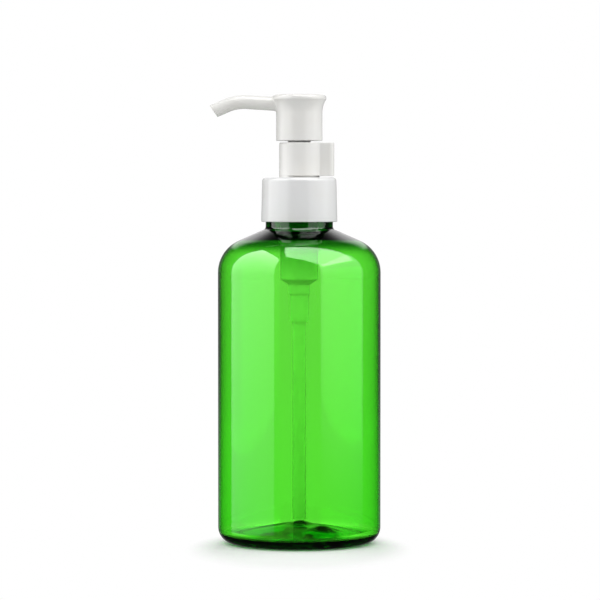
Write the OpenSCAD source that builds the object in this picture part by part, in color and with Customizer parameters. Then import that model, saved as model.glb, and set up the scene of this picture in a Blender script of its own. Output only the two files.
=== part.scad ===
// Pump bottle: a round clear-green bottle with a lotion pump, its screw closure and a clip that locks the head.
// Millimetres. The origin is on the bottle's axis, in the plane it stands on. +Z is up, the spout points to -X.

/* [Bottle] */
// Outside diameter of the straight side
body_d = 60; // [52:1:70]
// Height of the top of the straight side
side_h = 100; // [80:0.5:130]
// Radius of the round edge between the side and the shoulder
shoulder_r = 12.7; // [9:0.1:14]
// Slope of the shoulder's cone, in degrees from level
shoulder_slope = 24; // [18:1:30]
// Radius of the round edge at the foot
heel_r = 6; // [4:0.1:8]
// Width of the flat ring that the bottle stands on
foot_w = 1.8; // [1:0.1:3]
// Height of the hollow under the base
push_up = 3; // [1.5:0.1:4]
// Wall of the side and shoulder
wall = 0.8; // [0.6:0.05:1.2]
// Wall in the middle of the base
base_wall = 3.8; // [2.5:0.1:5]
// Height of the inside's floor at its edge
floor_edge_h = 2.4; // [1.5:0.1:4]
// Radius of the inside's edge between the floor and the side
floor_edge_r = 2.2; // [1:0.1:3.5]
// Diameter of the moulding nub under the base
gate_d = 4; // [2:0.5:8]
// Depth of the moulding nub
gate_h = 0.9; // [0.4:0.1:1.5]

/* [Neck] */
// Outside diameter of the neck under its thread
neck_d = 21.8; // [20.4:0.1:22.6]
// Diameter of the mouth
mouth_d = 18.6; // [17:0.1:19.4]
// Diameter of the plain band at the neck's foot
band_d = 24.8; // [24:0.1:26]
// Height of the plain band
band_h = 3.7; // [2:0.1:5]
// Height of the whole neck, band and all
neck_h = 14.4; // [13.5:0.1:18]
// Chamfer on the neck's edges
neck_chamfer = 0.5; // [0.2:0.1:0.8]

/* [Closure] */
// Wall of the closure's skirt at its lower edge
closure_wall = 1.3; // [1:0.1:2]
// How far the skirt's radius shrinks from its lower edge to its top
closure_taper = 0.4; // [0:0.05:0.6]
// Height of the closure
closure_h = 16.3; // [14:0.1:17]
// Thickness of the closure's top
closure_top = 1.5; // [1:0.1:2.5]
// Radius of the closure's upper edge
closure_edge_r = 1.4; // [0.5:0.1:1.8]
// Radial gap between the closure and the neck's band
closure_gap = 0.35; // [0.2:0.05:0.6]

/* [Guide sleeve] */
// Outside diameter of the upright sleeve
sleeve_d = 14.84; // [14.6:0.02:15.6]
// Wall of the sleeve
sleeve_wall = 1.3; // [1:0.1:1.5]
// Height of the sleeve above the closure
sleeve_h = 12.8; // [12.4:0.1:16]
// Diameter of the sleeve's flange under the closure
sleeve_flange_d = 22.4; // [20:0.1:24]
// Thickness of the sleeve's flange
sleeve_flange = 1.0; // [0.8:0.1:1.6]
// Thickness of the sleeve's floor above its flange
sleeve_floor = 1.0; // [0.6:0.1:1.4]
// Length of the spigot that plugs the pump housing
spigot_h = 5; // [3:0.1:7]
// Radial gap between the sleeve and the closure's hole
sleeve_gap = 0.18; // [0.1:0.02:0.3]

/* [Lock clip] */
// Wall of the clip
clip_wall = 0.95; // [0.8:0.05:1.1]
// Height of the clip
clip_h = 12.2; // [9:0.1:12.3]
// Width of the clip's opening, in degrees about the axis
clip_opening = 120; // [90:2:150]
// Radial gap between the clip and the sleeve
clip_gap = 0.13; // [0.05:0.01:0.3]
// How much thicker than the wall the round tips of its arms are, in radius
clip_tip_swell = 0.05; // [0.02:0.01:0.1]
// Reach of the finger tab from the axis
tab_reach = 12.85; // [11.5:0.05:18]
// Width of the finger tab
tab_w = 8.4; // [6:0.1:12]
// Radius of the finger tab's upright edges
tab_edge_r = 2; // [0.8:0.1:2.6]
// Wall of the finger tab around the pocket in its underside
tab_wall = 1.2; // [0.8:0.1:1.6]

/* [Pump head] */
// Outside diameter of the head
head_d = 17; // [17:0.1:20]
// Height of the head
head_h = 17; // [16.8:0.1:22]
// Diameter of the flared rim
rim_d = 19.9; // [18.5:0.1:23]
// Radius of the hollow flare under the rim
flare_r = 9.4; // [4:0.1:12]
// Radius of the rim's upper edge
rim_edge_r = 1.3; // [0.4:0.1:1.6]
// Depth of the upright band on the rim, with its upper edge
rim_h = 1.7; // [1.6:0.1:3]
// Diameter of the socket that holds the stem
boss_d = 11.2; // [10.6:0.1:11.4]
// Radial gap between the head and the sleeve that it slides over
head_gap = 0.23; // [0.15:0.01:0.4]
// Gap between the head and the sleeve when the head is up
head_rest_gap = 0.7; // [0.4:0.1:1.5]
// Travel of the head when it is pressed
stroke = 11.5; // [8:0.1:11.5]
// Gap that is left at the end of the travel
stroke_gap = 0.4; // [0.2:0.1:0.6]

/* [Spout] */
// Outside diameter of the spout at the head
spout_d = 5.2; // [4.6:0.1:5.6]
// Outside diameter of the spout beyond its straight stretch
spout_tip_d = 5.1; // [4.4:0.1:5.6]
// Diameter of the outlet channel
spout_bore_d = 3; // [2:0.1:3.4]
// Depth of the spout's start below the top of the head
spout_depth = 3.95; // [3.6:0.05:4.1]
// Length of the straight stretch, from the axis
spout_run = 19.5; // [14:0.1:35]
// Climb of the straight stretch, in degrees
spout_rise = 3.5; // [0:0.5:6]
// Radius of the spout's bend
spout_bend_r = 16; // [8:0.5:30]
// Fall of the spout's nose, in degrees
spout_fall = 23.5; // [10:0.5:45]
// Length of the nose beyond the bend
spout_nose = 5.2; // [3:0.1:15]
// Extra slant of the cut at the tip, in degrees
tip_slant = 11.5; // [0:0.5:25]

/* [Stem and piston] */
// Outside diameter of the stem
stem_d = 8.4; // [7.6:0.1:8.8]
// Diameter of the stem's passage
stem_bore_d = 5.8; // [5.2:0.1:6]
// Radial running gap around the stem and the piston
run_gap = 0.08; // [0.03:0.01:0.1]
// Length of the piston
piston_l = 6.4; // [5:0.1:9]
// Wall of the piston's hub
piston_hub = 1.0; // [0.8:0.1:1.3]
// Depth of the groove that holds the piston on the stem
piston_groove = 0.7; // [0.4:0.05:0.7]
// Height of the stem's bead under the piston
bead_h = 0.8; // [0.5:0.1:1.2]
// Diameter of the outlet ball
outlet_ball_d = 4.8; // [4.4:0.1:4.9]
// Travel of the outlet ball
outlet_ball_lift = 1; // [0.6:0.1:1.6]

/* [Pump housing] */
// Diameter of the pump's barrel inside
barrel_bore_d = 12; // [11.6:0.1:13]
// Wall of the barrel
barrel_wall = 1; // [0.8:0.05:1.4]
// Length of the barrel
barrel_l = 35; // [32:0.5:45]
// Diameter of the housing's flange
housing_flange_d = 21.4; // [19.6:0.1:21.8]
// Thickness of the housing's flange
housing_flange = 0.8; // [0.6:0.1:1.2]
// Thickness of the gasket on the neck
gasket_t = 1.2; // [0.8:0.1:2]
// Diameter of the inlet ball
inlet_ball_d = 4.4; // [4:0.1:4.8]
// Travel of the inlet ball
inlet_ball_lift = 1.2; // [0.8:0.1:2]
// Gap between a resting ball and its seat
ball_gap = 0.05; // [0.02:0.01:0.1]
// Thickness of the cage over the inlet ball
cage_t = 1.4; // [1:0.1:2]
// Width of the cage's cross bars
cage_bar = 1.2; // [0.8:0.1:1.6]
// Length of the socket for the dip tube
tube_socket = 9.5; // [6:0.1:14]

/* [Return spring] */
// Wire diameter
wire_d = 0.8; // [0.5:0.05:0.9]
// Mean diameter of the coils
coil_d = 9.8; // [9.4:0.1:10.4]
// Number of coils
coils = 8.5; // [6:0.5:9]
// Gap between the spring and what it pushes on
spring_gap = 0.05; // [0.02:0.01:0.1]

/* [Dip tube] */
// Outside diameter
tube_d = 5; // [4.4:0.1:5.6]
// Wall
tube_wall = 0.8; // [0.5:0.05:1]
// Gap between the tube's end and the base
tube_gap = 2; // [1:0.1:6]
// Slant of the tube's end, in degrees
tube_slant = 35; // [0:1:45]

/* [Hidden] */
$fn = 96;
// Overlap of a cutting shape past the face that it opens
over = 1;
// Points along an arc of an outline
arc_n = 16;
// Steps of one turn of the spring
coil_steps = 24;
// How much fatter in radius the spout's bend is than the stretches that it joins
bend_swell = 0.02;
// Small chamfer on moulded edges
break_edge = 0.25;

// Bottle
body_r = body_d / 2;
band_r = band_d / 2;
neck_r = neck_d / 2;
mouth_r = mouth_d / 2;
foot_out_r = body_r - heel_r;
foot_in_r = foot_out_r - foot_w;
floor_r = body_r - wall - floor_edge_r;
z_floor = push_up + base_wall;
shoulder_c = [body_r - shoulder_r, side_h];
z_neck = shoulder_c.y + shoulder_r * cos(shoulder_slope)
    + (shoulder_c.x + shoulder_r * sin(shoulder_slope) - band_r) * tan(shoulder_slope);
z_lip = z_neck + neck_h;

// Stack of parts that the closure clamps on the lip
z_gasket = z_lip + gasket_t;
z_housing_top = z_gasket + housing_flange;
z_flange_top = z_housing_top + sleeve_flange;
z_closure_top = z_flange_top + closure_top;
z_closure_low = z_closure_top - closure_h;
closure_bore_r = band_r + closure_gap;
closure_low_r = closure_bore_r + closure_wall;
closure_top_r = closure_low_r - closure_taper;

// Guide sleeve
sleeve_r = sleeve_d / 2;
sleeve_in_r = sleeve_r - sleeve_wall;
z_sleeve_floor = z_flange_top + sleeve_floor;
z_sleeve_top = z_closure_top + sleeve_h;
z_spigot_low = z_housing_top - spigot_h;
guide_r = stem_d / 2 + run_gap;

// Lock clip, level with the sleeve's top
clip_in_r = sleeve_r + clip_gap;
clip_out_r = clip_in_r + clip_wall;
z_clip_low = z_sleeve_top - clip_h;

// Pump head
head_r = head_d / 2;
rim_r = rim_d / 2;
boss_r = boss_d / 2;
skirt_in_r = sleeve_r + head_gap;
z_head_low = z_sleeve_top + head_rest_gap;
z_head_top = z_head_low + head_h;
z_cavity = z_sleeve_top + stroke + stroke_gap;
z_boss_low = z_sleeve_floor + stroke + stroke_gap;
z_rim_low = z_head_top - rim_h;
flare_start_z = z_rim_low - sqrt(pow(flare_r, 2) - pow(flare_r - (rim_r - head_r), 2));

// Spout
spout_bore_r = spout_bore_d / 2;
z_spout = z_head_top - spout_depth;
bend_start = [spout_run * cos(spout_rise), z_spout + spout_run * sin(spout_rise)];
bend_c = bend_start + spout_bend_r * [sin(spout_rise), -cos(spout_rise)];
bend_end = bend_c + spout_bend_r * [sin(spout_fall), cos(spout_fall)];
tip = bend_end + spout_nose * [cos(spout_fall), -sin(spout_fall)];

// Stem, piston and outlet ball
stem_r = stem_d / 2;
stem_bore_r = stem_bore_d / 2;
z_socket = z_cavity - stroke_gap / 2;
outlet_ball_r = outlet_ball_d / 2;
// Shares of a ball's radius: hole under the outlet ball, hole over it, and hole under the inlet ball
outlet_seat_share = 0.62;
mouth_stop_share = 0.66;
inlet_seat_share = 0.64;
outlet_seat_r = outlet_ball_r * outlet_seat_share;
mouth_stop_r = outlet_ball_r * mouth_stop_share;
z_outlet_ball = z_socket - sqrt(pow(outlet_ball_r, 2) - pow(mouth_stop_r, 2)) - outlet_ball_lift - ball_gap;
z_outlet_seat = z_outlet_ball - sqrt(2) * (outlet_ball_r + ball_gap) + outlet_seat_r;
// Length of a valve's straight hole
seat_land = 0.8;
groove_r = stem_r - piston_groove;
z_piston_top = z_spigot_low - 2 * ball_gap;
z_piston_low = z_piston_top - piston_l;
z_stem_low = z_piston_low - bead_h;
bead_r = groove_r + piston_groove / 2;
// Lengths along the piston: its inner shoulder, each sealing lip, and its waist
piston_shoulder = piston_l / 8;
piston_lip = piston_l / 6;
piston_waist = piston_l / 6;

// Housing, cage, inlet ball and spring
barrel_r = barrel_bore_d / 2;
housing_r = barrel_r + barrel_wall;
z_cage_low = z_housing_top - barrel_l;
z_cage_top = z_cage_low + cage_t;
inlet_ball_r = inlet_ball_d / 2;
z_inlet_ball = z_cage_low - inlet_ball_lift - ball_gap - inlet_ball_r;
// Room for lotion around the inlet ball
ball_room = 0.8;
chamber_r = inlet_ball_r + ball_room;
inlet_seat_r = inlet_ball_r * inlet_seat_share;
z_inlet_seat = z_inlet_ball - sqrt(2) * (inlet_ball_r + ball_gap) + inlet_seat_r;
z_seat_top = z_inlet_seat + chamber_r - inlet_seat_r;
tube_r = tube_d / 2;
z_tube_top = z_inlet_seat - seat_land;
z_housing_low = z_tube_top - tube_socket;
z_tube_low = z_floor + tube_gap;
coil_r = coil_d / 2;
z_spring_low = z_cage_top + spring_gap;
z_spring_top = z_piston_low - spring_gap;

white = [0.95, 0.95, 0.94];
green = [0.2, 0.78, 0.12, 0.55];
natural = [0.9, 0.92, 0.9, 0.6];
steel = [0.72, 0.73, 0.75];

// Points of an arc about c, from angle a to angle b
function arc(c, r, a, b, n = arc_n) = [for (i = [0:n]) let (t = a + (b - a) * i / n) c + r * [cos(t), sin(t)]];

// Points of a shallow dome about the axis, from height mid in the middle to height edge at radius r
function dome(r, mid, edge) = [for (i = [0:arc_n]) let (u = i / arc_n)
    [r * u, edge + (mid - edge) * (1 - u * u)]];

// Shoulder, moved inwards by t, from the top of the side to the foot of the neck at radius r
function shoulder(t, r) = concat(
    arc(shoulder_c, shoulder_r - t, 0, 90 - shoulder_slope),
    [[r, shoulder_c.y + (shoulder_r - t) * cos(shoulder_slope)
        + (shoulder_c.x + (shoulder_r - t) * sin(shoulder_slope) - r) * tan(shoulder_slope)]]);

// Ring with a rectangular section
module ring(out_r, in_r, low, high) {
    translate([0, 0, low]) difference() {
        cylinder(r = out_r, h = high - low);
        translate([0, 0, -over]) cylinder(r = in_r, h = high - low + 2 * over);
    }
}

// Round solid turned from an outline of radius and height
module turned(points) {
    rotate_extrude() polygon(points);
}

module bottle() {
    color(green) difference() {
        union() {
            turned(concat(
                dome(foot_in_r, push_up, 0),
                arc([foot_out_r, heel_r], heel_r, -90, 0),
                shoulder(0, band_r),
                [[band_r, z_neck + band_h - neck_chamfer], [band_r - neck_chamfer, z_neck + band_h],
                    [neck_r, z_neck + band_h], [neck_r, z_lip - neck_chamfer],
                    [neck_r - neck_chamfer, z_lip], [0, z_lip]]));
            translate([0, 0, push_up - gate_h]) cylinder(d = gate_d, h = gate_h + base_wall / 2);
        }
        turned(concat(
            dome(floor_r, z_floor, floor_edge_h),
            arc([floor_r, floor_edge_h + floor_edge_r], floor_edge_r, -90, 0),
            shoulder(wall, mouth_r),
            [[mouth_r, z_lip + over], [0, z_lip + over]]));
    }
}

module closure() {
    edge_c = [closure_top_r - closure_edge_r, z_closure_top - closure_edge_r];
    color(white) difference() {
        turned(concat(
            [[0, z_closure_low], [closure_low_r - break_edge, z_closure_low],
                [closure_low_r, z_closure_low + break_edge]],
            arc(edge_c, closure_edge_r, 0, 90),
            [[0, z_closure_top]]));
        translate([0, 0, z_closure_low - over])
            cylinder(r = closure_bore_r, h = z_flange_top - z_closure_low + over);
        translate([0, 0, z_flange_top - over]) cylinder(r = sleeve_r + sleeve_gap, h = closure_top + 2 * over);
    }
}

module neck_gasket() {
    color(white) ring(housing_flange_d / 2, mouth_r - over, z_lip, z_gasket);
}

module guide_sleeve() {
    color(white) difference() {
        union() {
            turned([[0, z_housing_top], [sleeve_flange_d / 2, z_housing_top],
                [sleeve_flange_d / 2, z_flange_top], [sleeve_r, z_flange_top],
                [sleeve_r, z_sleeve_top - break_edge], [sleeve_r - break_edge, z_sleeve_top], [0, z_sleeve_top]]);
            translate([0, 0, z_spigot_low]) cylinder(r = barrel_r, h = spigot_h);
        }
        translate([0, 0, z_sleeve_floor]) cylinder(r = sleeve_in_r, h = sleeve_h + closure_top);
        translate([0, 0, z_spigot_low - over])
            cylinder(r = guide_r, h = z_sleeve_floor - z_spigot_low + 2 * over);
    }
}

// Upright round-edged block from the axis to the given reach along +X
module tab_block(reach, width, edge_r, low, high) {
    translate([0, 0, low]) linear_extrude(high - low) union() {
        translate([0, -width / 2]) square([reach - edge_r, width]);
        translate([0, -width / 2 + edge_r]) square([reach, width - 2 * edge_r]);
        for (side = [-1, 1]) translate([reach - edge_r, side * (width / 2 - edge_r)]) circle(r = edge_r);
    }
}

module lock_clip() {
    arm_angle = 180 - clip_opening / 2;
    open_x = 2 * clip_out_r;
    open_y = open_x * tan(clip_opening / 2);
    color(white) union() {
        difference() {
            union() {
                translate([0, 0, z_clip_low]) cylinder(r = clip_out_r, h = clip_h);
                tab_block(tab_reach, tab_w, tab_edge_r, z_clip_low, z_sleeve_top);
            }
            translate([0, 0, z_clip_low - over]) cylinder(r = clip_in_r, h = clip_h + 2 * over);
            translate([0, 0, z_clip_low - over]) linear_extrude(clip_h + 2 * over)
                polygon([[0, 0], [-open_x, open_y], [-open_x, -open_y]]);
            // Pocket under the tab, from the outside of the ring
            difference() {
                tab_block(tab_reach - tab_wall, tab_w - 2 * tab_wall, tab_edge_r - tab_wall / 2,
                    z_clip_low - over, z_sleeve_top - tab_wall);
                translate([0, 0, z_clip_low - 2 * over]) cylinder(r = clip_out_r, h = clip_h + 2 * over);
            }
        }
        for (side = [-1, 1]) rotate([0, 0, side * arm_angle])
            translate([clip_in_r + clip_wall / 2, 0, z_clip_low])
                cylinder(r = clip_wall / 2 + clip_tip_swell, h = clip_h);
    }
}

// Round bar along the spout's centre line, from the axis to beyond the tip
module spout_bar(root_r, end_r) {
    translate([0, 0, z_spout]) rotate([0, 90 - spout_rise, 0]) cylinder(r1 = root_r, r2 = end_r, h = spout_run);
    translate([bend_c.x, 0, bend_c.y]) rotate([90, 0, 0]) rotate([0, 0, 90 - spout_fall])
        rotate_extrude(angle = spout_rise + spout_fall)
            translate([spout_bend_r, 0]) circle(r = end_r + bend_swell);
    translate([bend_end.x, 0, bend_end.y]) rotate([0, 90 + spout_fall, 0])
        cylinder(r = end_r, h = spout_nose + spout_d);
}

module pump_head() {
    rim_c = [rim_r - rim_edge_r, z_head_top - rim_edge_r];
    color(white) difference() {
        union() {
            turned(concat(
                [[0, z_head_low], [head_r - break_edge, z_head_low], [head_r, z_head_low + break_edge]],
                arc([head_r + flare_r, flare_start_z], flare_r, 180,
                    180 - acos((flare_r - (rim_r - head_r)) / flare_r)),
                arc(rim_c, rim_edge_r, 0, 90),
                [[0, z_head_top]]));
            mirror([1, 0, 0]) spout_bar(spout_d / 2, spout_tip_d / 2);
        }
        // Room for the sleeve around the stem's socket
        ring(skirt_in_r, boss_r, z_head_low - over, z_cavity);
        translate([0, 0, z_head_low - over]) cylinder(r = stem_r, h = z_socket - z_head_low + over);
        // Outlet channel and the slot that keeps it open past the raised ball
        translate([0, 0, z_socket - over]) cylinder(r = mouth_stop_r, h = z_spout - z_socket + over);
        translate([-stem_bore_r, -cage_bar / 2, z_socket - over])
            cube([2 * stem_bore_r, cage_bar, over + break_edge]);
        mirror([1, 0, 0]) spout_bar(spout_bore_r, spout_bore_r);
        // Slanted cut at the tip
        mirror([1, 0, 0]) translate([tip.x, 0, tip.y]) rotate([0, 90 + spout_fall + tip_slant, 0])
            translate([-spout_d, -spout_d, 0]) cube([2 * spout_d, 2 * spout_d, 3 * spout_d]);
    }
}

module stem() {
    color(white) difference() {
        turned([[0, z_stem_low], [bead_r - break_edge, z_stem_low], [bead_r, z_stem_low + break_edge],
            [bead_r, z_piston_low - run_gap], [groove_r, z_piston_low - run_gap],
            [groove_r, z_piston_top - piston_shoulder], [stem_r, z_piston_top - piston_shoulder],
            [stem_r, z_socket], [0, z_socket]]);
        turned([[0, z_stem_low - over], [stem_bore_r, z_stem_low - over],
            [stem_bore_r, z_outlet_seat - seat_land - stem_bore_r + outlet_seat_r],
            [outlet_seat_r, z_outlet_seat - seat_land], [outlet_seat_r, z_outlet_seat],
            [stem_bore_r, z_outlet_seat + stem_bore_r - outlet_seat_r],
            [stem_bore_r, z_socket + over], [0, z_socket + over]]);
    }
}

module outlet_ball() {
    color(steel) translate([0, 0, z_outlet_ball]) sphere(r = outlet_ball_r);
}

module piston() {
    bore_r = groove_r + run_gap;
    hub_r = bore_r + piston_hub;
    lip_r = barrel_r - run_gap;
    z_shoulder = z_piston_top - piston_shoulder - run_gap;
    z_mid = (z_piston_low + z_piston_top) / 2;
    color(natural) turned([
        [bore_r, z_piston_low], [lip_r - break_edge, z_piston_low], [lip_r, z_piston_low + break_edge],
        [lip_r, z_piston_low + piston_lip],
        [hub_r, z_mid - piston_waist / 2], [hub_r, z_mid + piston_waist / 2],
        [lip_r, z_piston_top - piston_lip],
        [lip_r, z_piston_top - break_edge], [lip_r - break_edge, z_piston_top],
        [stem_r + run_gap, z_piston_top], [stem_r + run_gap, z_shoulder], [bore_r, z_shoulder]]);
}

// Height of the wire's centre after u coils, with one closed coil at each end
function spring_z(u) = let (
    low = z_spring_low + wire_d / 2,
    high = z_spring_top - wire_d / 2,
    closed = wire_d + spring_gap)
    u < 1 ? low + closed * u
    : u > coils - 1 ? high - closed * (coils - u)
    : low + closed + (high - low - 2 * closed) * (u - 1) / (coils - 2);

module return_spring() {
    sides = 8;
    steps = ceil(coils * coil_steps);
    points = [for (i = [0:steps], k = [0:sides - 1])
        let (u = coils * i / steps, t = 360 * k / sides, r = coil_r + wire_d / 2 * cos(t))
        [r * cos(360 * u), r * sin(360 * u), spring_z(u) + wire_d / 2 * sin(t)]];
    walls = [for (i = [0:steps - 1], k = [0:sides - 1]) let (a = i * sides, b = a + sides, n = (k + 1) % sides)
        [a + k, b + k, b + n, a + n]];
    ends = [[for (k = [0:sides - 1]) k], [for (k = [0:sides - 1]) steps * sides + sides - 1 - k]];
    color(steel) polyhedron(points, concat(walls, ends), convexity = 10);
}

module pump_housing() {
    inlet_r = tube_r + barrel_wall;
    color(natural) difference() {
        turned([[0, z_housing_low], [inlet_r, z_housing_low], [inlet_r, z_tube_top],
            [chamber_r + barrel_wall, z_inlet_seat], [chamber_r + barrel_wall, z_cage_low - barrel_wall * 2],
            [housing_r, z_cage_low], [housing_r, z_gasket], [housing_flange_d / 2, z_gasket],
            [housing_flange_d / 2, z_housing_top], [0, z_housing_top]]);
        turned([[0, z_housing_low - over], [tube_r, z_housing_low - over], [tube_r, z_tube_top],
            [inlet_seat_r, z_tube_top], [inlet_seat_r, z_inlet_seat], [chamber_r, z_seat_top],
            [chamber_r, z_cage_low], [barrel_r, z_cage_low], [barrel_r, z_housing_top + over],
            [0, z_housing_top + over]]);
    }
}

module ball_cage() {
    color(white) {
        ring(barrel_r, chamber_r, z_cage_low, z_cage_top);
        for (turn = [0, 90]) rotate([0, 0, turn]) translate([-chamber_r - over, -cage_bar / 2, z_cage_low])
            cube([2 * (chamber_r + over), cage_bar, cage_t]);
    }
}

module inlet_ball() {
    color(steel) translate([0, 0, z_inlet_ball]) sphere(r = inlet_ball_r);
}

module dip_tube() {
    color(natural) difference() {
        ring(tube_r, tube_r - tube_wall, z_tube_low, z_tube_top);
        translate([-tube_r, 0, z_tube_low]) rotate([0, tube_slant, 0])
            translate([-2 * tube_d, -tube_d, -2 * tube_d]) cube([4 * tube_d, 2 * tube_d, 2 * tube_d]);
    }
}

bottle();
closure();
neck_gasket();
guide_sleeve();
lock_clip();
pump_head();
stem();
outlet_ball();
piston();
return_spring();
pump_housing();
ball_cage();
inlet_ball();
dip_tube();
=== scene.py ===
"""Looks of a round clear-green pump bottle with a lotion pump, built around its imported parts.

Sizes of the parts are in millimetres, and heights are measured from the floor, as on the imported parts.
Finished meshes, lamps and the camera are in metres. The bottle's axis is Z, the spout points to -X and the
camera looks along +Y.
"""

from __future__ import annotations

import logging
import math
from dataclasses import dataclass
from enum import Enum
from typing import Any, Callable, Iterable, Sequence

import bmesh
import bpy
from mathutils import Matrix, Vector


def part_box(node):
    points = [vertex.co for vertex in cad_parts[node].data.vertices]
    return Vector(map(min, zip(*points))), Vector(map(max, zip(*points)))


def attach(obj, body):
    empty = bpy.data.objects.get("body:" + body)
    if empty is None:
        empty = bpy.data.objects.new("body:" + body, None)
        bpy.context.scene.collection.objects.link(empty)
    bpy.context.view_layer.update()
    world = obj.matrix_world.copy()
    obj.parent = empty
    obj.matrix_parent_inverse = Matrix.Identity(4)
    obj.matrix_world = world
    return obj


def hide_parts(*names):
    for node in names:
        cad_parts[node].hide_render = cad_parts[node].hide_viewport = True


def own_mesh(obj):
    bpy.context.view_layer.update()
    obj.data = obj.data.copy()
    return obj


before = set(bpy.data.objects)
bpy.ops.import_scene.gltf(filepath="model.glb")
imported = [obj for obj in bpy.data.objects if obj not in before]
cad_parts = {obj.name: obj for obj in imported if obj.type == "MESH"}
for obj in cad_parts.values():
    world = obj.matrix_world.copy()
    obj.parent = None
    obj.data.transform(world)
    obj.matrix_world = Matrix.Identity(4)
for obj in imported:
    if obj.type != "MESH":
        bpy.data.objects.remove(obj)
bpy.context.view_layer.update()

MM = 0.001
LAMP_WATTS_PER_M2 = 4.0
LOG = logging.getLogger("pump_bottle")

Point = tuple[float, float]
Range = tuple[float, float]
Triple = tuple[float, float, float]
Relief = Callable[[float, float, float], float]
MeshData = tuple[list, list]
Socket = bpy.types.NodeSocket


def low_of(node: str) -> float:
    """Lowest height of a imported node, in millimetres."""
    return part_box(node)[0].z / MM


def high_of(node: str) -> float:
    """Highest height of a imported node, in millimetres."""
    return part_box(node)[1].z / MM


def in_scene(name: str, data: bpy.types.ID) -> bpy.types.Object:
    """Makes an object from its data and puts it in the scene."""
    made = bpy.data.objects.new(name, data)
    bpy.context.scene.collection.objects.link(made)
    return made


class Value:
    """Number in a shader, on which sums can be written as plain expressions."""

    def __init__(self, graph: Graph, socket: Socket) -> None:
        """Wraps one output socket of a node in a graph."""
        self.graph = graph
        self.socket = socket

    def _math(self, operation: str, first: Any, second: Any = 0.0) -> Value:
        """Adds one Math node, on one or two numbers that may be Values or plain."""
        node = self.graph.add("Math", {0: first, 1: second}, operation=operation)
        return Value(self.graph, node.outputs[0])

    def __add__(self, other: Any) -> Value:
        """Sum."""
        return self._math("ADD", self, other)

    __radd__ = __add__

    def __sub__(self, other: Any) -> Value:
        """Difference."""
        return self._math("SUBTRACT", self, other)

    def __rsub__(self, other: Any) -> Value:
        """Difference from a plain number."""
        return self._math("SUBTRACT", other, self)

    def __mul__(self, other: Any) -> Value:
        """Product."""
        return self._math("MULTIPLY", self, other)

    __rmul__ = __mul__

    def __truediv__(self, other: Any) -> Value:
        """Quotient."""
        return self._math("DIVIDE", self, other)

    def __abs__(self) -> Value:
        """Size without sign."""
        return self._math("ABSOLUTE", self)

    def or_else(self, other: Any) -> Value:
        """The larger of two numbers, which is OR on two masks."""
        return self._math("MAXIMUM", self, other)

    def step(self, low: float, high: float) -> Value:
        """Smooth step from 0 where the number is low to 1 where it is high."""
        sockets = {"Value": self, "From Min": low, "From Max": high}
        node = self.graph.add("MapRange", sockets, interpolation_type="SMOOTHSTEP")
        return Value(self.graph, node.outputs["Result"])


class Graph:
    """Node tree of a material, the world or a lamp."""

    def __init__(self, tree: bpy.types.NodeTree) -> None:
        """Empties the tree that is to be filled."""
        self.tree = tree
        tree.nodes.clear()

    def add(self, kind: str, sockets: dict[Any, Any] | None = None, **settings: Any) -> Any:
        """Adds one node of any type.

        Args:
            kind: Blender's name of the node's type, after the ShaderNode that all begin with.
            sockets: Value or link of each input, by its name or its number.
            settings: Properties of the node, which are set first.

        Returns:
            The new node.
        """
        node = self.tree.nodes.new("ShaderNode" + kind)
        for name, value in settings.items():
            setattr(node, name, value)
        for key, value in (sockets or {}).items():
            if isinstance(value, Value):
                value = value.socket
            if isinstance(value, Socket):
                self.tree.links.new(value, node.inputs[key])
            else:
                node.inputs[key].default_value = value
        return node

    def value(self, node: bpy.types.Node, output: str) -> Value:
        """One output of a node as a number."""
        return Value(self, node.outputs[output])

    def place(self) -> Socket:
        """Position on the piece, in metres in its own frame."""
        return self.add("TexCoord").outputs["Object"]

    def axes(self, vector: Socket) -> tuple[Value, Value, Value]:
        """Splits a vector into its x, y and z."""
        node = self.add("SeparateXYZ", {"Vector": vector})
        return tuple(self.value(node, name) for name in "XYZ")

    def stretched(self, vector: Socket, scale: Triple) -> Socket:
        """Vector times a scale on each axis."""
        return self.add("VectorMath", {0: vector, 1: scale}, operation="MULTIPLY").outputs[0]

    def noise(self, vector: Socket, scale: float, detail: float = 2.0) -> Value:
        """Cloudy noise from 0 to 1, with so many clouds per metre and octaves of finer noise."""
        node = self.add("TexNoise", {"Vector": vector, "Scale": scale, "Detail": detail})
        return self.value(node, "Fac")

    def blend(self, mask: Any, low: Any, high: Any) -> Socket:
        """Mix of two colours.

        Args:
            mask: 0 gives the first colour and 1 the second.
            low: First colour, a socket or three numbers.
            high: Second colour.

        Returns:
            Socket with the mixed colour.
        """
        colours = {6: low, 7: high}
        full = {key: c if isinstance(c, Socket) else (*c, 1.0) for key, c in colours.items()}
        return self.add("Mix", {0: mask, **full}, data_type="RGBA").outputs[2]

    def bump(self, height: Value, depth_mm: float) -> Socket:
        """Normal of a surface with a relief from 0 to 1, where 1 is so many millimetres high."""
        node = self.add("Bump", {"Height": height, "Strength": 1.0, "Distance": depth_mm * MM})
        return node.outputs["Normal"]

    def mix_shaders(self, mask: Any, low: Socket, high: Socket) -> Socket:
        """Mix of two shaders, where a mask of 0 gives the first."""
        return self.add("MixShader", {0: mask, 1: low, 2: high}).outputs[0]

    def white_light(self, strength: Any) -> Socket:
        """Shader that gives white light of a strength."""
        return self.add("Emission", {"Color": (1, 1, 1, 1), "Strength": strength}).outputs[0]


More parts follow.
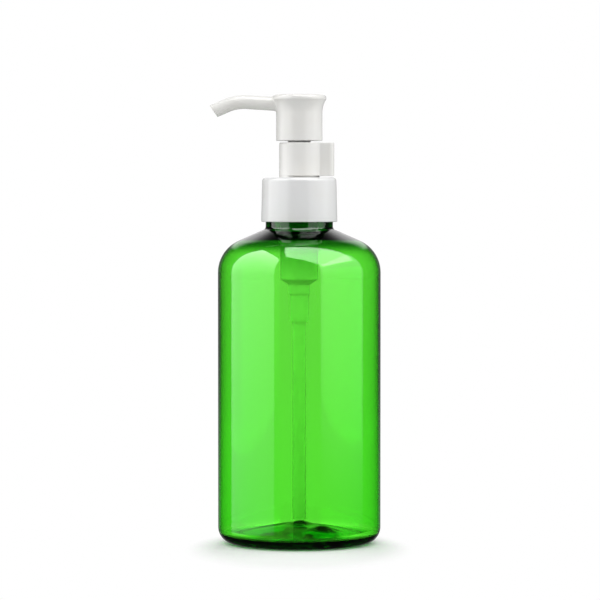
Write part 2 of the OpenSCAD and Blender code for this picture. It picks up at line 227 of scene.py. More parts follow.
class Rays:
    """What a shader can know about the ray that reads it."""

    def __init__(self, graph: Graph) -> None:
        """Adds the node that knows it."""
        self.graph = graph
        self.node = graph.add("LightPath")

    def is_a(self, kind: str) -> Value:
        """1 for a ray of a kind, such as Camera, and 0 for others."""
        return self.graph.value(self.node, f"Is {kind} Ray")

    def met(self, kind: str) -> Value:
        """1 for a ray that some surface has turned in a way, such as Glossy, and 0 for others."""
        return self.graph.value(self.node, f"{kind} Depth").step(0.0, 1.0)

    def sent_back(self) -> Value:
        """1 for a ray that a glossy or matt surface has sent back, and 0 for others."""
        return self.met("Glossy").or_else(self.met("Diffuse"))


def new_material(name: str) -> tuple[bpy.types.Material, Graph]:
    """Makes an empty material, and its graph."""
    material = bpy.data.materials.new(name)
    material.use_nodes = True
    return material, Graph(material.node_tree)


@dataclass(frozen=True)
class Recipe:
    """Anything that makes a material around one surface shader."""

    name: str

    def inputs(self, graph: Graph, place: Socket) -> dict[str, Any]:
        """Inputs of the surface shader.

        Args:
            graph: Graph of the material.
            place: Position on the piece.

        Returns:
            Value or link of each input.
        """
        raise NotImplementedError

    def volume(self, graph: Graph) -> dict[str, Socket]:
        """Link of what fills the inside, which most finishes do without."""
        return {}

    def make(self) -> bpy.types.Material:
        """Builds the material."""
        material, graph = new_material(self.name)
        surface = graph.add("BsdfPrincipled", self.inputs(graph, graph.place()))
        graph.add("OutputMaterial", {"Surface": surface.outputs[0], **self.volume(graph)})
        return material


@dataclass(frozen=True)
class WhitePlastic(Recipe):
    """Glossy moulded white plastic with a trace of orange peel and of warmer flow marks."""

    colour: Triple = (0.86, 0.862, 0.865)
    roughness: float = 0.16
    peel_mm: float = 0.004
    ior: float = 1.49
    warmer_by: Triple = (0.985, 0.98, 0.965)

    def inputs(self, graph: Graph, place: Socket) -> dict[str, Any]:
        """Inputs of the surface shader."""
        flow = graph.noise(place, 90.0)
        warmer = tuple(c * k for c, k in zip(self.colour, self.warmer_by))
        peel = graph.noise(place, 1300.0, 3.0) * 0.6 + graph.noise(place, 240.0) * 2.2
        return {
            "Base Color": graph.blend(flow.step(0.35, 0.75), self.colour, warmer),
            "Roughness": self.roughness + 0.05 * graph.noise(place, 520.0),
            "IOR": self.ior,
            "Normal": graph.bump(peel, self.peel_mm),
        }


@dataclass(frozen=True)
class ClearPet(Recipe):
    """Clear green plastic. Its colour deepens with the wall that light crosses, and painted shade darkens it
    over the neck.
    """

    name: str = "clear_green_pet"
    ior: float = 1.57
    tint: Triple = (0.94, 0.96, 0.92)
    painted_neck_shade_tint: Triple = (0.13, 0.36, 0.14)
    neck_low: float = high_of("bottle") - 24.0
    neck_high: float = high_of("bottle") - 18.0
    absorption_colour: Triple = (0.385, 0.973, 0.077)
    absorption_per_m: float = 2200.0
    seam_mm: float = 0.09
    relief_mm: float = 0.02

    def inputs(self, graph: Graph, place: Socket) -> dict[str, Any]:
        """Inputs of the surface shader."""
        _, across, up = graph.axes(place)
        # Painted shade: the base colour turns dark green by height over the neck, standing in for the shade
        # inside the neck under the closure.
        neck_shade_mask = up.step(self.neck_low * MM, self.neck_high * MM)
        streaks = graph.noise(graph.stretched(place, (1.0, 1.0, 0.06)), 260.0)
        seam = 1 - abs(across).step(0.0, self.seam_mm * MM)
        return {
            "Base Color": graph.blend(neck_shade_mask, self.tint, self.painted_neck_shade_tint),
            "Roughness": 0.012 + 0.02 * graph.noise(place, 700.0),
            "IOR": self.ior,
            "Transmission Weight": 1.0,
            "Normal": graph.bump(0.12 * streaks + 0.5 * seam, self.relief_mm),
        }

    def volume(self, graph: Graph) -> dict[str, Socket]:
        """Link of the plastic's inside, which takes colour out of light along its way."""
        sockets = {"Color": (*self.absorption_colour, 1.0), "Density": self.absorption_per_m}
        return {"Volume": graph.add("VolumeAbsorption", sockets).outputs[0]}


@dataclass(frozen=True)
class NaturalPlastic(Recipe):
    """Undyed plastic, milky or partly clear, with slight clouds."""

    colour: Triple = (0.93, 0.94, 0.93)
    clearness: float = 0.0
    roughness: float = 0.5
    ior: float = 1.2
    relief_mm: float = 0.004

    def inputs(self, graph: Graph, place: Socket) -> dict[str, Any]:
        """Inputs of the surface shader."""
        cloud = graph.noise(place, 160.0)
        paler = tuple(min(1.0, c * 1.03) for c in self.colour)
        return {
            "Base Color": graph.blend(cloud, self.colour, paler),
            "Roughness": self.roughness + 0.06 * graph.noise(place, 600.0),
            "IOR": self.ior,
            "Transmission Weight": self.clearness,
            "Normal": graph.bump(graph.noise(place, 900.0), self.relief_mm),
        }


@dataclass(frozen=True)
class DrawnSteel(Recipe):
    """Bright steel wire and balls with fine drawing marks."""

    name: str = "bright_steel"
    colour: Triple = (0.68, 0.69, 0.7)
    roughness: float = 0.2
    relief_mm: float = 0.003

    def inputs(self, graph: Graph, place: Socket) -> dict[str, Any]:
        """Inputs of the surface shader."""
        marks = graph.noise(graph.stretched(place, (1.0, 1.0, 6.0)), 1400.0)
        darker = tuple(c * 0.86 for c in self.colour)
        return {
            "Base Color": graph.blend(marks, self.colour, darker),
            "Metallic": 1.0,
            "Roughness": self.roughness + 0.1 * marks,
            "Normal": graph.bump(marks, self.relief_mm),
        }


class Finish(Enum):
    """Finishes of the object, each with the record's slot that it stands for."""

    GREEN = ("green_pet", ClearPet())
    WHITE = ("white_gloss", WhitePlastic("white_gloss_plastic"))
    WARM_WHITE = ("white_gloss", WhitePlastic("warm_white_gloss_plastic", (0.865, 0.86, 0.838)))
    SOFT_WHITE = ("white_soft", WhitePlastic("white_soft_plastic", (0.84, 0.84, 0.83), 0.34, 0.006))
    NATURAL = ("natural", NaturalPlastic("natural_plastic", clearness=0.4, ior=1.3))
    MILKY = ("natural_clear", NaturalPlastic("milky_plastic"))
    STEEL = ("steel", DrawnSteel())

    def material(self) -> bpy.types.Material:
        """The material of this finish, made on its first use."""
        recipe = self.value[1]
        return bpy.data.materials.get(recipe.name) or recipe.make()


@dataclass(frozen=True)
class Corner:
    """Corner of an outline: radius or x, height or y, and the radius that rounds it."""

    r: float
    z: float
    fillet: float = 0.0


def rounded(outline: Sequence[tuple[float, ...]], closed: bool = False, steps: int = 7) -> list[Point]:
    """Turns corners into points, with an arc at each rounded one.

    Args:
        outline: Radius or x, height or y, and any rounding radius of each corner, in order.
        closed: True if the last corner is joined to the first.
        steps: Steps of an arc of a quarter turn.

    Returns:
        Points of the outline.
    """
    corners = [Corner(*fields) for fields in outline]
    points: list[Point] = []
    for i, corner in enumerate(corners):
        here = Vector((corner.r, corner.z))
        if corner.fillet <= 0 or (not closed and i in (0, len(corners) - 1)):
            points.append((corner.r, corner.z))
            continue
        before, after = corners[i - 1], corners[(i + 1) % len(corners)]
        back = (Vector((before.r, before.z)) - here).normalized()
        forth = (Vector((after.r, after.z)) - here).normalized()
        half = back.angle(forth) / 2
        centre = here + (back + forth).normalized() * (corner.fillet / math.sin(half))
        start = here + back * (corner.fillet / math.tan(half)) - centre
        end = here + forth * (corner.fillet / math.tan(half)) - centre
        a0, a1 = math.atan2(start.y, start.x), math.atan2(end.y, end.x)
        turn = (a1 - a0 + math.pi) % (2 * math.pi) - math.pi
        count = max(2, round(steps * abs(turn) / (math.pi / 2)))
        for k in range(count + 1):
            a = a0 + turn * k / count
            points.append((centre.x + corner.fillet * math.cos(a), centre.y + corner.fillet * math.sin(a)))
    return points


def filled(points: Sequence[Point], step: float) -> list[Point]:
    """Adds points along an outline so that none are further apart than a step.

    Args:
        points: Points of the outline.
        step: Longest distance allowed, in millimetres.

    Returns:
        The outline with its added points.
    """
    out = [points[0]]
    for (r0, z0), (r1, z1) in zip(points, points[1:]):
        count = max(1, math.ceil(math.hypot(r1 - r0, z1 - z0) / step))
        out += [(r0 + (r1 - r0) * k / count, z0 + (z1 - z0) * k / count) for k in range(1, count + 1)]
    return out


def make_piece(name: str, mesh_data: MeshData, sharp_deg: float = 38.0) -> bpy.types.Object:
    """Makes an object from vertices and faces, with clean normals and smooth shading.

    Args:
        name: Name of the piece.
        mesh_data: Vertices in millimetres, and faces as lists of vertex numbers.
        sharp_deg: Angle above which an edge stays sharp.

    Returns:
        The object, in metres.
    """
    vertices, faces = mesh_data
    mesh = bpy.data.meshes.new(name)
    mesh.from_pydata([tuple(c * MM for c in v) for v in vertices], [], faces)
    bm = bmesh.new()
    bm.from_mesh(mesh)
    bmesh.ops.remove_doubles(bm, verts=bm.verts, dist=1e-8)
    bmesh.ops.recalc_face_normals(bm, faces=bm.faces)
    bm.to_mesh(mesh)
    bm.free()
    mesh.shade_smooth()
    mesh.set_sharp_from_angle(angle=math.radians(sharp_deg))
    piece = in_scene(name, mesh)
    weighted = piece.modifiers.new("flat_faces_first", "WEIGHTED_NORMAL")
    weighted.keep_sharp = True
    return piece


def turned(outline: Sequence[Point], segments: int, closed: bool, relief: Relief | None = None) -> MeshData:
    """Turns an outline about the axis.

    Args:
        outline: Radius and height of each point. Ends at radius 0 become poles.
        segments: Steps of a full turn.
        closed: True if the last point is joined to the first.
        relief: Gives what is added to the radius at an angle, radius and height.

    Returns:
        Vertices and faces.
    """
    vertices: list[Triple] = []
    rows: list[list[int]] = []
    for r, z in outline:
        if r < 1e-6:
            rows.append([len(vertices)] * segments)
            vertices.append((0.0, 0.0, z))
            continue
        rows.append(list(range(len(vertices), len(vertices) + segments)))
        for k in range(segments):
            a = 2 * math.pi * k / segments
            radius = r + (relief(a, r, z) if relief else 0.0)
            vertices.append((radius * math.cos(a), radius * math.sin(a), z))
    faces = []
    pairs = list(zip(rows, rows[1:])) + ([(rows[-1], rows[0])] if closed else [])
    for low, high in pairs:
        for k in range(segments):
            n = (k + 1) % segments
            ring = [low[k], low[n], high[n], high[k]]
            face = [v for i, v in enumerate(ring) if v != ring[i - 1]]
            if len(face) > 2:
                faces.append(face)
    return vertices, faces


def lofted(rings: Sequence[Sequence[Sequence[float]]], caps: bool = True) -> MeshData:
    """Joins rings of points into a tube.

    Args:
        rings: Rings with the same number of points each.
        caps: True if a fan closes each end.

    Returns:
        Vertices and faces.
    """
    sides = len(rings[0])
    vertices = [tuple(p) for ring in rings for p in ring]
    faces = []
    for i in range(len(rings) - 1):
        for k in range(sides):
            n = (k + 1) % sides
            faces.append([i * sides + k, i * sides + n, (i + 1) * sides + n, (i + 1) * sides + k])
    if caps:
        for first in (0, (len(rings) - 1) * sides):
            middle = sum((Vector(v) for v in vertices[first:first + sides]), Vector()) / sides
            vertices.append(tuple(middle))
            faces += [[len(vertices) - 1, first + k, first + (k + 1) % sides] for k in range(sides)]
    return vertices, faces


@dataclass(frozen=True)
class Thread:
    """Raised helical bead on a round wall."""

    low: float
    turns: float = 1.5
    pitch: float = 3.18
    height: float = 0.95
    width: float = 1.9
    run_out: float = 0.09

    def rise(self, angle: float, z: float) -> float:
        """Height of the bead above the wall.

        Args:
            angle: Angle about the axis, in radians.
            z: Height, in millimetres.

        Returns:
            Height of the bead there, in millimetres.
        """
        best = 0.0
        for lap in range(math.ceil(self.turns)):
            along = angle / (2 * math.pi) + lap
            fade = min(1.0, along / self.run_out, (self.turns - along) / self.run_out)
            aside = abs(z - self.low - self.pitch * along) / (self.width / 2)
            if fade > 0 and aside < 1:
                flank = min(1.0, (1 - aside) / 0.5)
                best = max(best, self.height * fade * flank * flank * (3 - 2 * flank))
        return best


@dataclass
class Part:
    """Anything that builds one piece, dresses it and puts it on its body."""

    def shape(self) -> MeshData:
        """Builds the form of the piece.

        Returns:
            Vertices in millimetres and faces, as one closed skin.
        """
        raise NotImplementedError

    def add(self, name: str, body: str, finish: Finish, nodes: Iterable[str]) -> bpy.types.Object:
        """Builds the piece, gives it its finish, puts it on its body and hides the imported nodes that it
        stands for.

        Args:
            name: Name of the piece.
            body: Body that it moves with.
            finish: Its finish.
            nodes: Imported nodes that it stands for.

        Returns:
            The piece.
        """
        piece = make_piece(name, self.shape())
        piece.data.materials.append(finish.material())
        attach(piece, body)
        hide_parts(*nodes)
        LOG.info("%s: %d faces in %s", name, len(piece.data.polygons), finish.value[0])
        return piece


@dataclass
class Bottle(Part):
    """Blown bottle: one closed wall with a rounded shoulder, threaded neck and pushed-up base.

    The round foot and the inside's edge join the base's curves at curve_share of their radius. Each of the
    lumps on the inside of the base has its x, y, width and height.
    """

    body_r: float = 30.0
    high: float = high_of("bottle")
    shoulder_r: float = 12.7
    shoulder_slope: float = 24.0
    heel_r: float = 6.0
    foot_w: float = 1.8
    push_up: float = 3.0
    gate_r: float = 2.0
    gate_h: float = 0.9
    wall_top: float = 0.62
    wall_low: float = 0.80
    base_wall: float = 3.8
    floor_edge_h: float = 2.4
    floor_edge_r: float = 2.2
    root_drop: float = 1.8
    root_edge_r: float = 4.0
    root_out_r: float = 20.0
    band_r: float = 12.4
    band_h: float = 3.7
    neck_r: float = 10.9
    mouth_r: float = 9.3
    neck_h: float = 14.4
    segments: int = 224
    thread_step: float = 0.22
    wall_step: float = 3.0
    curve_share: float = 0.93
    lumps_below: float = 12.0
    lumps: tuple[tuple[float, float, float, float], ...] = (
        (0.5, 0.0, 4.0, 1.5),
        (9.0, -12.0, 4.6, 2.2),
        (-9.0, -6.0, 5.0, 0.5),
        (-3.0, 9.0, 4.5, 0.5),
    )

    def __post_init__(self) -> None:
        """Works out the neck's foot and the inside's floor."""
        self.tan = math.tan(math.radians(self.shoulder_slope))
        self.z_lip = self.high
        self.z_neck = self.z_lip - self.neck_h
        self.floor_r = self.body_r - self.wall_low - self.floor_edge_r
        self.thread = Thread(low=self.z_neck + self.band_h + 2.2)

    def cone_z(self, r: float, inward: float = 0.0) -> float:
        """Height of the shoulder's cone at a radius, moved inwards by a wall."""
        down = inward / math.cos(math.radians(self.shoulder_slope))
        return self.z_neck + (self.band_r - r) * self.tan - down

    def base_z(self, r: float) -> float:
        """Height of the hollow under the base, at a radius."""
        u = r / (self.body_r - self.heel_r - self.foot_w)
        return self.push_up * (1 - u * u)

    def floor_z(self, r: float) -> float:
        """Height of the inside's floor, at a radius."""
        u = r / self.floor_r
        return self.floor_edge_h + (self.push_up + self.base_wall - self.floor_edge_h) * (1 - u * u)

    def outer(self) -> list[Point]:
        """Outside, from the middle of the base to the lip.

        Returns:
            Points of the outline.
        """
        foot_in = self.body_r - self.heel_r - self.foot_w
        gate_low = self.push_up - self.gate_h
        nub = rounded([
            (0.0, gate_low),
            (self.gate_r, gate_low, 0.25),
            (self.gate_r + 0.1, self.base_z(self.gate_r), 0.25),
            (self.gate_r + 1.4, self.base_z(self.gate_r + 1.4)),
        ])
        dome = [(r, self.base_z(r)) for r in (foot_in * k / 14 for k in range(3, 14))]
        z_shoulder = self.cone_z(self.body_r)
        join_r = foot_in * self.curve_share
        side = rounded([
            (join_r, self.base_z(join_r)),
            (foot_in, 0.0, 1.2),
            (self.body_r, 0.0, self.heel_r),
            (self.body_r, z_shoulder, self.shoulder_r),
            (self.band_r, self.z_neck, 1.2),
            (self.band_r, self.z_neck + self.band_h, 0.5),
            (self.neck_r, self.z_neck + self.band_h, 0.3),
        ], steps=18)
        neck = filled([side.pop(), (self.neck_r, self.z_lip - 0.8)], self.thread_step)
        lip = rounded([
            (self.neck_r, self.z_lip - 0.8),
            (self.neck_r, self.z_lip, 0.45),
            (self.mouth_r, self.z_lip, 0.35),
            (self.mouth_r, self.z_lip - 0.8),
        ])
        return nub + dome[1:] + filled(side[1:], self.wall_step) + neck + lip[1:]

    def inner(self) -> list[Point]:
        """Inside, from the mouth down to the middle of the base.

        Returns:
            Points of the outline.
        """
        top, low = self.wall_top, self.wall_low
        join_r = self.floor_r * self.curve_share
        base = [(r, self.floor_z(r)) for r in (self.floor_r * k / 28 for k in range(25, -1, -1))]
        side = rounded([
            (self.mouth_r, self.z_neck + self.band_h),
            (self.mouth_r, self.z_neck - self.root_drop, self.root_edge_r),
            (self.root_out_r, self.cone_z(self.root_out_r, top), 8.0),
            (self.body_r - top, self.cone_z(self.body_r - top, top), self.shoulder_r - top),
            (self.body_r - low, self.floor_edge_h, self.floor_edge_r),
            (join_r, self.floor_z(join_r)),
        ], steps=18)
        return filled(side[:-1], self.wall_step) + base

    def relief(self, angle: float, r: float, z: float) -> float:
        """Thread outside the neck: what is added to the radius there."""
        on_neck = z > self.z_neck + self.band_h + 0.2 and abs(r - self.neck_r) < 0.01
        return self.thread.rise(angle, z) if on_neck else 0.0

    def shape(self) -> MeshData:
        """Vertices and faces of the bottle, outside and inside."""
        vertices, faces = turned(self.outer() + self.inner(), self.segments, False, self.relief)
        return [self.dented(v) for v in vertices], faces

    def dented(self, vertex: Triple) -> Triple:
        """Moves a vertex on the inside of the base up or down, as a blown base is uneven.

        Args:
            vertex: Vertex of the even shape.

        Returns:
            The vertex in its place.
        """
        x, y, z = vertex
        r = math.hypot(x, y)
        outside = z < self.base_z(r) + 0.5
        if r > self.floor_r or z > self.lumps_below or outside:
            return vertex
        rise = sum(h * math.exp(-((x - a) ** 2 + (y - b) ** 2) / (w * w)) for a, b, w, h in self.lumps)
        return x, y, z + rise


@dataclass
class Closure(Part):
    """Screw closure: smooth tapered skirt, rounded top edge, and a thread inside."""

    low: float = low_of("closure")
    high: float = high_of("closure")
    low_r: float = 14.05
    top_r: float = 13.65
    edge_r: float = 1.4
    bore_r: float = 12.75
    top: float = 1.5
    hole_r: float = 7.6
    lead_in_h: float = 0.6
    lead_in_w: float = 0.12
    thread_up: float = 4.9
    thread_step: float = 0.4
    segments: int = 192

    def shape(self) -> MeshData:
        """Vertices and faces of the closure."""
        ceiling = self.high - self.top
        outline = rounded([
            (self.hole_r, self.high, 0.3),
            (self.hole_r, ceiling, 0.1),
            (self.bore_r, ceiling, 0.4),
            (self.bore_r, self.low + self.lead_in_h),
            (self.bore_r + self.lead_in_w, self.low, 0.25),
            (self.low_r, self.low, 0.3),
            (self.top_r, self.high, self.edge_r),
        ], closed=True, steps=8)
        thread = Thread(low=self.low + self.thread_up, height=0.78, width=1.5)
        wall = filled(outline + outline[:1], self.thread_step)[:-1]

        def relief(angle: float, r: float, z: float) -> float:
            """Thread inside the bore."""
            return -thread.rise(angle, z) if abs(r - self.bore_r) < 0.02 else 0.0

        return turned(wall, self.segments, True, relief)


@dataclass
class GuideSleeve(Part):
    """Upright sleeve with its flange, floor and spigot."""

    r: float = 7.42
    in_r: float = 6.12
    high: float = high_of("guide_sleeve")
    floor_top: float = high_of("closure") - 0.5
    flange_r: float = 11.2
    flange_top: float = high_of("closure") - 1.5
    flange_low: float = high_of("closure") - 2.5
    spigot_r: float = 6.0
    spigot_low: float = low_of("guide_sleeve")
    guide_r: float = 4.28
    segments: int = 160

    def shape(self) -> MeshData:
        """Vertices and faces of the sleeve."""
        outline = rounded([
            (self.r, self.high, 0.45),
            (self.in_r, self.high, 0.35),
            (self.in_r, self.floor_top, 0.4),
            (self.guide_r, self.floor_top, 0.2),
            (self.guide_r, self.spigot_low, 0.2),
            (self.spigot_r, self.spigot_low, 0.3),
            (self.spigot_r, self.flange_low, 0.1),
            (self.flange_r, self.flange_low, 0.1),
            (self.flange_r, self.flange_top, 0.1),
            (self.r, self.flange_top, 0.1),
        ], closed=True)
        return turned(outline, self.segments, True)


@dataclass
class LockClip(Part):
    """C-shaped clip with a finger tab that has a pocket in its underside."""

    in_r: float = 7.55
    out_r: float = 8.5
    low: float = low_of("lock_clip")
    high: float = high_of("lock_clip")
    opening: float = 120.0
    reach: float = 12.85
    width: float = 8.4
    corner_r: float = 2.0
    root_r: float = 0.9
    tab_wall: float = 1.2
    edge_r: float = 0.28

    @staticmethod
    def arc(centre: Point, r: float, start: float, end: float, step: float = 3.0) -> list[Point]:
        """Points of an arc.

        Args:
            centre: Its centre.
            r: Its radius.
            start: Angle of its first point, in degrees.
            end: Angle of its last point.
            step: Longest step, in degrees.

        Returns:
            Points from start to end.
        """
        count = max(2, math.ceil(abs(end - start) / step))
        angles = [math.radians(start + (end - start) * k / count) for k in range(count + 1)]
        return [(centre[0] + r * math.cos(a), centre[1] + r * math.sin(a)) for a in angles]

    def plan(self) -> list[Point]:
        """Outline seen from above, counter-clockwise.

        Returns:
            Points of the outline.
        """
        end = 180 - self.opening / 2
        mid_r, tip_r = (self.in_r + self.out_r) / 2, (self.out_r - self.in_r) / 2
        half = self.width / 2
        root_y = half + self.root_r
        root_x = math.sqrt((self.out_r + self.root_r) ** 2 - root_y ** 2)
        root_a = math.degrees(math.atan2(root_y, root_x))
        tip = (mid_r * math.cos(math.radians(end)), mid_r * math.sin(math.radians(end)))
        upper = self.arc((self.reach - self.corner_r, half - self.corner_r), self.corner_r, 0, 90, 10)
        upper += self.arc((root_x, root_y), self.root_r, -90, root_a - 180, 12)
        upper += self.arc((0.0, 0.0), self.out_r, root_a, end)[1:]
        upper += self.arc(tip, tip_r, end, end + 180, 15)[1:]
        upper += self.arc((0.0, 0.0), self.in_r, end, 0)[1:]
        lower = [(x, -y) for x, y in reversed(upper[:-1])]
        return upper + lower

    def pocket(self) -> list[Point]:
        """Outline of the pocket in the tab, seen from above.

        Returns:
            Points of the outline, counter-clockwise.
        """
        half, reach = self.width / 2 - self.tab_wall, self.reach - self.tab_wall
        near = self.out_r + 0.05
        corner = math.degrees(math.asin(half / near))
        r = self.corner_r - self.tab_wall / 2
        points = self.arc((0.0, 0.0), near, corner, -corner)
        points += self.arc((reach - r, r - half), r, -90, 0, 12)
        points += self.arc((reach - r, half - r), r, 0, 90, 12)
        return points

    def shape(self) -> MeshData:
        """Vertices and faces of the clip."""
        plan = [Vector(p) for p in self.plan()]
        plan = [p for i, p in enumerate(plan) if (p - plan[i - 1]).length > 1e-4]
        normals = []
        for i, p in enumerate(plan):
            along = plan[(i + 1) % len(plan)] - plan[i - 1]
            normals.append(Vector((along.y, -along.x)).normalized())
        bend = [math.radians(a) for a in (90, 67.5, 45, 22.5, 0)]
        e = self.edge_r
        levels = [(e * (1 - math.cos(a)), self.low + e * (1 - math.sin(a))) for a in bend]
        levels += [(inset, self.low + self.high - z) for inset, z in reversed(levels)]
        bm = bmesh.new()
        rings = [[bm.verts.new((*(p - n * inset), z)) for p, n in zip(plan, normals)] for inset, z in levels]
        pocket_top = self.high - self.tab_wall
        pocket = [[bm.verts.new((x, y, z)) for x, y in self.pocket()] for z in (self.low, pocket_top)]
        for low, high in [*zip(rings, rings[1:]), pocket]:
            for k in range(len(low)):
                n = (k + 1) % len(low)
                bm.faces.new((low[k], low[n], high[n], high[k]))
        bm.faces.new(pocket[1])
        for loops in ([rings[-1]], [rings[0], pocket[0]]):
            edges = [bm.edges.get((loop[k - 1], loop[k])) for loop in loops for k in range(len(loop))]
            bmesh.ops.triangle_fill(bm, use_beauty=True, edges=edges)
        bm.verts.index_update()
        vertices = [tuple(v.co) for v in bm.verts]
        faces = [[v.index for v in face.verts] for face in bm.faces]
        bm.free()
        return vertices, faces


@dataclass
class PumpHead(Part):
    """Head with a flared rim, the socket for the stem and the room for the sleeve."""

    r: float = 8.5
    rim_r: float = 9.95
    high: float = high_of("pump_head")
    low: float = high_of("pump_head") - 17.0
    rim_h: float = 1.7
    rim_edge_r: float = 1.3
    flare_r: float = 9.4
    skirt_in_r: float = 7.65
    boss_r: float = 5.6
    boss_low: float = low_of("pump_head")
    cavity_top: float = high_of("pump_head") - 5.8
    socket_r: float = 4.2
    socket_top: float = high_of("pump_head") - 6.0
    channel_r: float = 1.58
    channel_top: float = high_of("pump_head") - 4.38
    dish: float = 0.3
    dish_share: float = 0.6
    segments: int = 192

    def __post_init__(self) -> None:
        """Works out where the flare starts and ends."""
        self.rim_low = self.high - self.rim_h
        drop = self.flare_r - (self.rim_r - self.r)
        self.flare_low = self.rim_low - math.sqrt(self.flare_r ** 2 - drop ** 2)

    def outside_r(self, z: float) -> float:
        """Radius of the head's outside at a height.

        Args:
            z: Height in millimetres.

        Returns:
            Radius in millimetres.
        """
        if z <= self.flare_low:
            return self.r
        if z < self.rim_low:
            return self.r + self.flare_r - math.sqrt(self.flare_r ** 2 - (z - self.flare_low) ** 2)
        over = max(0.0, z - (self.high - self.rim_edge_r))
        return self.rim_r - self.rim_edge_r + math.sqrt(max(0.0, self.rim_edge_r ** 2 - over ** 2))

    def shape(self) -> MeshData:
        """Vertices and faces of the head without its spout."""
        flare_h = self.rim_low - 0.25 - self.flare_low
        flare = [(self.outside_r(z), z) for z in (self.flare_low + flare_h * k / 12 for k in range(13))]
        dish_r = self.rim_r * self.dish_share
        rim = rounded([
            flare[-1],
            (self.rim_r, self.rim_low - 0.02, 0.22),
            (self.rim_r, self.high, self.rim_edge_r),
            (dish_r, self.high),
        ], steps=12)
        shares = (0.9, 0.75, 0.55, 0.35, 0.15, 0)
        top = [(dish_r * c, self.high - self.dish * (1 - c * c) ** 2) for c in shares]
        under = rounded([
            (0.0, self.channel_top),
            (self.channel_r, self.channel_top, 0.2),
            (self.channel_r, self.socket_top, 0.1),
            (self.socket_r, self.socket_top, 0.1),
            (self.socket_r, self.boss_low, 0.3),
            (self.boss_r, self.boss_low, 0.3),
            (self.boss_r, self.cavity_top, 0.3),
            (self.skirt_in_r, self.cavity_top, 0.3),
            (self.skirt_in_r, self.low, 0.25),
            (self.r, self.low, 0.3),
            flare[0],
        ])
        return turned(filled(under, 2.5) + flare[1:-1] + rim + top, self.segments, False)


@dataclass
class Spout(Part):
    """Bent spout that grows out of the head with a small fillet and ends in a slanted, open tip."""

    head: PumpHead
    root_d: float = 5.2
    tip_d: float = 5.1
    bore_d: float = 3.0
    depth: float = 3.95
    run: float = 19.5
    rise: float = 3.5
    bend_r: float = 16.0
    fall: float = 23.5
    nose: float = 5.2
    slant: float = 11.5
    fillet: float = 0.75
    lip_r: float = 0.3
    mouth_edge_r: float = 0.15
    inner_end: float = 7.95
    bore_end: float = 10.5
    sides: int = 72

    def __post_init__(self) -> None:
        """Works out the centre line."""
        rise, fall = math.radians(self.rise), math.radians(self.fall)
        self.start_z = self.head.high - self.depth
        self.bend_x = self.run * math.cos(rise)
        self.bend_z = self.start_z + self.run * math.sin(rise)
        self.bend_l = self.bend_r * (rise + fall)
        self.length = self.run + self.bend_l + self.nose

    def station(self, s: float) -> tuple[Vector, Vector]:
        """Point and direction of the centre line.

        Args:
            s: Distance along it from the head's axis.

        Returns:
            The point and the unit direction towards the tip.
        """
        rise = math.radians(self.rise)
        turn = min(max(s - self.run, 0.0), self.bend_l) / self.bend_r
        slope = rise - turn
        if s <= self.run:
            x, z = s * math.cos(rise), self.start_z + s * math.sin(rise)
        else:
            x = self.bend_x + self.bend_r * (math.sin(rise) - math.sin(slope))
            z = self.bend_z + self.bend_r * (math.cos(slope) - math.cos(rise))
        past = max(s - self.run - self.bend_l, 0.0)
        direction = Vector((-math.cos(slope), 0.0, math.sin(slope)))
        return Vector((-x, 0.0, z)) + direction * past, direction

    def point(self, s: float, r: float, angle: float) -> Vector:
        """Point at a distance along the spout, and at a radius and an angle from the top about it."""
        centre, direction = self.station(s)
        up = Vector((direction.z, 0.0, -direction.x))
        return centre + up * (r * math.cos(angle)) + Vector((0.0, r * math.sin(angle), 0.0))

    def outer_r(self, s: float) -> float:
        """Radius of the spout at a distance along it."""
        share = min(1.0, s / self.run)
        return (self.root_d + (self.tip_d - self.root_d) * share) / 2

    def root_s(self, r: float, angle: float) -> float:
        """Distance at which a line along the spout leaves the head's outside.

        Args:
            r: Distance of the line from the centre line.
            angle: Its angle, from the top.

        Returns:
            Distance along the centre line.
        """
        low, high = self.inner_end, self.run
        for _ in range(24):
            middle = (low + high) / 2
            p = self.point(middle, r, angle)
            inside = math.hypot(p.x, p.y) < self.head.outside_r(p.z)
            low, high = (middle, high) if inside else (low, middle)
        return low

    def cut_s(self, r: float, angle: float) -> float:
        """Distance at which a line along the nose meets the slanted cut."""
        return self.length - r * math.cos(angle) * -math.tan(math.radians(self.slant))

    def shape(self) -> MeshData:
        """Vertices and faces of the spout, with the channel open at its tip."""
        angles = [2 * math.pi * k / self.sides for k in range(self.sides)]
        f, bore_r = self.fillet, self.bore_d / 2
        rings = [[self.point(self.inner_end + 0.1, self.outer_r(0) * 0.94, a) for a in angles]]
        for k in range(8, -1, -1):
            b = math.pi / 2 * k / 8
            aside, ahead = f * (1 - math.cos(b)), f * (1 - math.sin(b))
            sunk = 0.05 if k == 8 else 0.0
            radius = self.outer_r(self.inner_end) + aside
            rings.append([self.point(self.root_s(radius, a) + ahead - sunk, radius, a) for a in angles])
        first = self.head.rim_r + 1.6
        straight = 4
        bends = 14
        stations = [first + (self.run - first) * k / straight for k in range(straight)]
        stations += [self.run + self.bend_l * k / bends for k in range(bends + 1)]
        rings += [[self.point(s, self.outer_r(s), a) for a in angles] for s in stations]
        tip_round = [(self.tip_d / 2, -self.lip_r, v) for v in (0, 22.5, 45, 67.5, 90)]
        mouth_round = [(bore_r, self.mouth_edge_r, v) for v in (90, 60, 30, 0)]
        for wall_r, edge_r, degrees in tip_round + mouth_round:
            b = math.radians(degrees)
            r = wall_r + edge_r * (1 - math.cos(b))
            back = abs(edge_r) * (1 - math.sin(b))
            rings.append([self.point(self.cut_s(r, a) - back, r, a) for a in angles])
        inward = [s for s in reversed(stations) if s > self.bore_end] + [self.bore_end]
        rings += [[self.point(s, bore_r, a) for a in angles] for s in inward]
        return lofted(rings)


